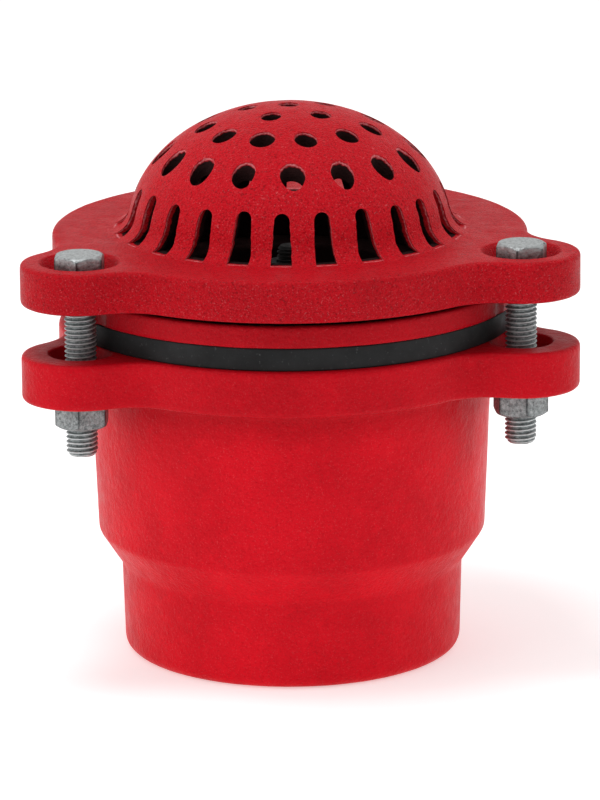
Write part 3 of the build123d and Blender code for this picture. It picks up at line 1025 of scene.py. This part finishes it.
def hexagon_radius(angle, across):
    """Distance from the axis to a hexagon's side."""
    turned = (angle % (math.pi / 3)) - math.pi / 6
    return across / 2 / math.cos(turned)


def hexagon_rings(across, height, bevel_foot):
    """Rings of a hexagonal prism with its corners turned off to a cone."""
    crown_radius = CROWN_SHARE * across / 2
    foot_edge, top_edge = [], []
    for i in range(HEXAGON_SEGMENTS):
        angle = TURN * i / HEXAGON_SEGMENTS
        reach = hexagon_radius(angle, across)
        drop = (reach - crown_radius) * CONE_SLOPE
        x, y = reach * math.cos(angle), reach * math.sin(angle)
        foot_edge.append((x, y, drop if bevel_foot else 0.0))
        top_edge.append((x, y, height - drop))
    flat_foot = [circle(crown_radius, 0.0, HEXAGON_SEGMENTS)] if bevel_foot else []
    return flat_foot + [foot_edge, top_edge, circle(crown_radius, height, HEXAGON_SEGMENTS)]


def soften_edges(obj, width_mm):
    """A small rounding on the sharp edges."""
    bevel = obj.modifiers.new("ease", "BEVEL")
    bevel.width = width_mm * MM
    bevel.segments = 3
    bevel.limit_method = "ANGLE"
    bevel.angle_limit = math.radians(28)
    bake_modifiers(obj)
    shade_flat_edges(obj, 35)


def make_bolt(name, place, turn, across, head_height, radius, pitch, length, upside_down=False):
    """Hexagon head on a rod threaded up to it. The head stands on place."""
    head = loft(name + "_head", hexagon_rings(across, head_height, bevel_foot=False))
    soften_edges(head, HEXAGON_EASE)
    rod = loft(name + "_rod", threaded_shank(-length, 0.3, radius, pitch, soft=0.09, seed=turn))
    shade_smooth(rod)
    bolt = join(name, [head, rod])
    shade_flat_edges(bolt, 50)
    flip = Matrix.Rotation(math.pi, 4, "X") if upside_down else Matrix.Identity(4)
    where = Matrix.Translation(Vector(place) * MM)
    bolt.data.transform(where @ Matrix.Rotation(turn, 4, "Z") @ flip)
    return bolt


def make_nut(name, place, turn, across, height, bore):
    """Hexagon nut, bevelled on both faces and countersunk at both ends of its bore."""
    sink = 0.9
    rings = hexagon_rings(across, height, bevel_foot=True)
    hole = ((bore + sink, height), (bore, height - sink), (bore, sink), (bore + sink, 0.0))
    rings += [circle(r, z, HEXAGON_SEGMENTS) for r, z in hole]
    nut = loft(name, rings, wrap=True)
    soften_edges(nut, HEXAGON_EASE)
    nut.data.transform(Matrix.Translation(Vector(place) * MM) @ Matrix.Rotation(turn, 4, "Z"))
    return nut


def make_flange_fasteners():
    """Three bolts with their nuts, each turned its own way."""
    for index, angle in enumerate(LUG_ANGLES):
        x, y = lug_centre(angle)
        bolt_node, nut_node = f"flange_bolt_{index + 1}", f"flange_nut_{index + 1}"
        nut_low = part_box(nut_node)[0].z / MM
        bolt = make_bolt(
            f"galvanised_bolt_{index + 1}", (x, y, HEAD_SEAT), math.radians(HEAD_TURNS[index]),
            HEAD_ACROSS, HEAD_HEIGHT, BOLT_RADIUS, BOLT_PITCH, BOLT_LENGTH,
        )
        settle(bolt, HOUSING, BOLT_ZINC, "galvanised_steel", bolt_node)
        nut = make_nut(
            f"galvanised_nut_{index + 1}", (x, y, nut_low), math.radians(NUT_TURNS[index]),
            NUT_ACROSS, NUT_HEIGHT, BOLT_RADIUS - 0.5,
        )
        settle(nut, HOUSING, NUT_ZINC, "galvanised_steel", nut_node)


def make_flap_clamp():
    """Weight, plate, lock washer, bolt and nut that grip the middle of the flap."""
    low, high = (corner.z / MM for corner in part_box("flap_weight"))
    weight = lathe(
        "flap_weight_casting",
        rounded(
            [
                (CLAMP_BORE, low, 0.5),
                (WEIGHT_RADIUS - 1.3, low, 2.0),
                (WEIGHT_RADIUS, high, 0.4),
                (CLAMP_BORE, high, 0.0),
            ]
        ),
        160,
    )
    wobble(weight, 0.25, 9.0, seed=4.0)
    settle(weight, FLAP, PRIMER, "bare_iron", "flap_weight")
    low, high = (corner.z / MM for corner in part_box("flap_plate"))
    plate = lathe(
        "flap_clamp_plate",
        rounded(
            [
                (CLAMP_BORE, low, 0.0),
                (PLATE_RADIUS, low, 0.3),
                (PLATE_RADIUS, high, 0.8),
                (CLAMP_BORE, high, 0.3),
            ]
        ),
        192,
    )
    shade_flat_edges(plate)
    settle(plate, FLAP, BLACKENED, "blackened_steel", "flap_plate")
    low, high = (corner.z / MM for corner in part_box("flap_lock_washer"))
    settle(lock_washer(low, high), FLAP, BLACKENED, "blackened_steel", "flap_lock_washer")
    nut_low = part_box("flap_nut")[0].z / MM
    nut = make_nut(
        "flap_clamp_nut", (0, 0, nut_low), 0.0,
        CLAMP_ACROSS, CLAMP_NUT_HEIGHT, CLAMP_BOLT_RADIUS - 0.6,
    )
    settle(nut, FLAP, BLACKENED, "blackened_steel", "flap_nut")
    head_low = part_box("flap_weight")[0].z / MM
    bolt = make_bolt(
        "flap_clamp_bolt", (0, 0, head_low), 0.0,
        CLAMP_ACROSS, CLAMP_HEAD_HEIGHT, CLAMP_BOLT_RADIUS, CLAMP_BOLT_PITCH, CLAMP_BOLT_LENGTH,
        upside_down=True,
    )
    settle(bolt, FLAP, BLACKENED, "blackened_steel", "flap_bolt")


def lock_washer(low, high, split_degrees=10.0):
    """A square-section ring cut through once, its ends a little out of line."""
    rings = []
    steps = 72
    half_split = math.radians(split_degrees) / 2
    for k in range(steps + 1):
        share = k / steps
        angle = half_split + (TURN - 2 * half_split) * share
        shift = 0.25 * (share - 0.5)
        corners = rounded(
            [
                (CLAMP_BORE, low + 0.15, 0.25),
                (WASHER_RADIUS, low + 0.15, 0.25),
                (WASHER_RADIUS, high - 0.15, 0.25),
                (CLAMP_BORE, high - 0.15, 0.25),
            ],
            steps=2,
        )
        ring = [(r * math.cos(angle), r * math.sin(angle), z + shift) for r, z in corners]
        rings.append(ring)
    washer = loft("flap_split_washer", rings)
    shade_flat_edges(washer)
    return washer


def make_socket_thread():
    """The cut pipe thread, a sleeve of bare iron let into the socket's bore."""
    segments, per_turn = 200, 10
    inner = []
    first, last = 0.35, PIPE_LENGTH
    rows = int((last - first) / PIPE_PITCH * per_turn)
    lead = 2.5
    for row in range(rows + 1):
        z = first + (last - first) * row / rows
        opened = max(0.0, 1 - (z - first) / lead) * (PIPE_THREAD_DEPTH + 0.3)
        ring = []
        for i in range(segments):
            share = i / segments
            lift = thread_shape(z / PIPE_PITCH + share)
            reach = PIPE_MINOR + PIPE_THREAD_DEPTH * (1 - lift)
            reach = max(reach, PIPE_MINOR + opened)
            ring.append((reach * math.cos(TURN * share), reach * math.sin(TURN * share), z))
        inner.append(ring)
    outer = [circle(PIPE_SLEEVE + 0.2, z, segments) for z in (last, first)]
    sleeve = loft("socket_thread", (inner + outer)[::-1], wrap=True)
    shade_flat_edges(sleeve, 50)
    return settle(sleeve, HOUSING, MACHINED, "bare_iron")


# ---- studio ------------------------------------------------------------------------------------

def make_camera():
    """A long lens a little above the lower flange, just left of the front."""
    back = Vector(
        (
            math.sin(CAMERA_AZIMUTH) * math.cos(CAMERA_ELEVATION),
            -math.cos(CAMERA_AZIMUTH) * math.cos(CAMERA_ELEVATION),
            math.sin(CAMERA_ELEVATION),
        )
    )
    right = Vector((math.cos(CAMERA_AZIMUTH), math.sin(CAMERA_AZIMUTH), 0.0))
    up = back.cross(right)
    tilted_right = right * math.cos(CAMERA_ROLL) - up * math.sin(CAMERA_ROLL)
    tilted_up = right * math.sin(CAMERA_ROLL) + up * math.cos(CAMERA_ROLL)
    eye = LOOK_AT + back * CAMERA_DISTANCE
    aim = LOOK_AT + tilted_right * LEFT_OF_MIDDLE - tilted_up * ABOVE_MIDDLE
    backward = (eye - aim).normalized()
    side = tilted_up.cross(backward).normalized()
    data = bpy.data.cameras.new("camera")
    data.sensor_width = SENSOR
    data.lens = LENS
    data.clip_end = 20.0
    camera = bpy.data.objects.new("camera", data)
    bpy.context.scene.collection.objects.link(camera)
    turn = Matrix((side, backward.cross(side), backward)).transposed().to_4x4()
    camera.matrix_world = Matrix.Translation(eye) @ turn
    bpy.context.scene.camera = camera


def soft_light(name, place, width, power):
    """A square softbox turned to face the middle of the valve."""
    data = bpy.data.lights.new(name, "AREA")
    data.size = width
    data.energy = power
    lamp = bpy.data.objects.new(name, data)
    bpy.context.scene.collection.objects.link(lamp)
    lamp.location = place
    aim = LIT_POINT - Vector(place)
    lamp.rotation_euler = aim.to_track_quat("-Z", "Y").to_euler()


def pale_surroundings():
    """A pale room, dimmer behind the camera."""
    world = bpy.data.worlds.new("studio")
    world.use_nodes = True
    nodes, links = world.node_tree.nodes, world.node_tree.links
    split = nodes.new("ShaderNodeSeparateXYZ")
    links.new(nodes.new("ShaderNodeTexCoord").outputs["Generated"], split.inputs[0])
    front_to_back = nodes.new("ShaderNodeMapRange")
    front_to_back.interpolation_type = "SMOOTHSTEP"
    limits = {"From Min": -0.9, "From Max": 0.2, "To Min": FRONT_SKY, "To Max": SIDE_SKY}
    for name, value in limits.items():
        front_to_back.inputs[name].default_value = value
    links.new(split.outputs["Y"], front_to_back.inputs["Value"])
    background = nodes["Background"]
    background.inputs["Color"].default_value = (1.0, 1.0, 1.0, 1.0)
    links.new(front_to_back.outputs["Result"], background.inputs["Strength"])
    bpy.context.scene.world = world


def make_studio():
    """Pale glowing floor, pale surroundings, and soft lights above and at both sides."""
    heights = (-FLOOR_THICKNESS / MM, 0.0)
    floor = loft("floor", [circle(FLOOR_RADIUS / MM, z, 96) for z in heights])
    floor.data.materials.append(pale_floor())
    pale_surroundings()
    soft_light("left", place=(-1.5, -0.5, 0.7), width=1.6, power=8.0)
    soft_light("right", place=(1.5, -0.3, 0.7), width=1.2, power=5.0)
    soft_light("above", place=(-0.3, -0.1, 1.6), width=0.45, power=8.0)
    view = bpy.context.scene.view_settings
    view.view_transform = "Standard"
    view.look = "None"


make_body()
make_strainer()
make_seat_ring()
make_rubber()
make_flange_fasteners()
make_flap_clamp()
make_socket_thread()
make_camera()
make_studio()
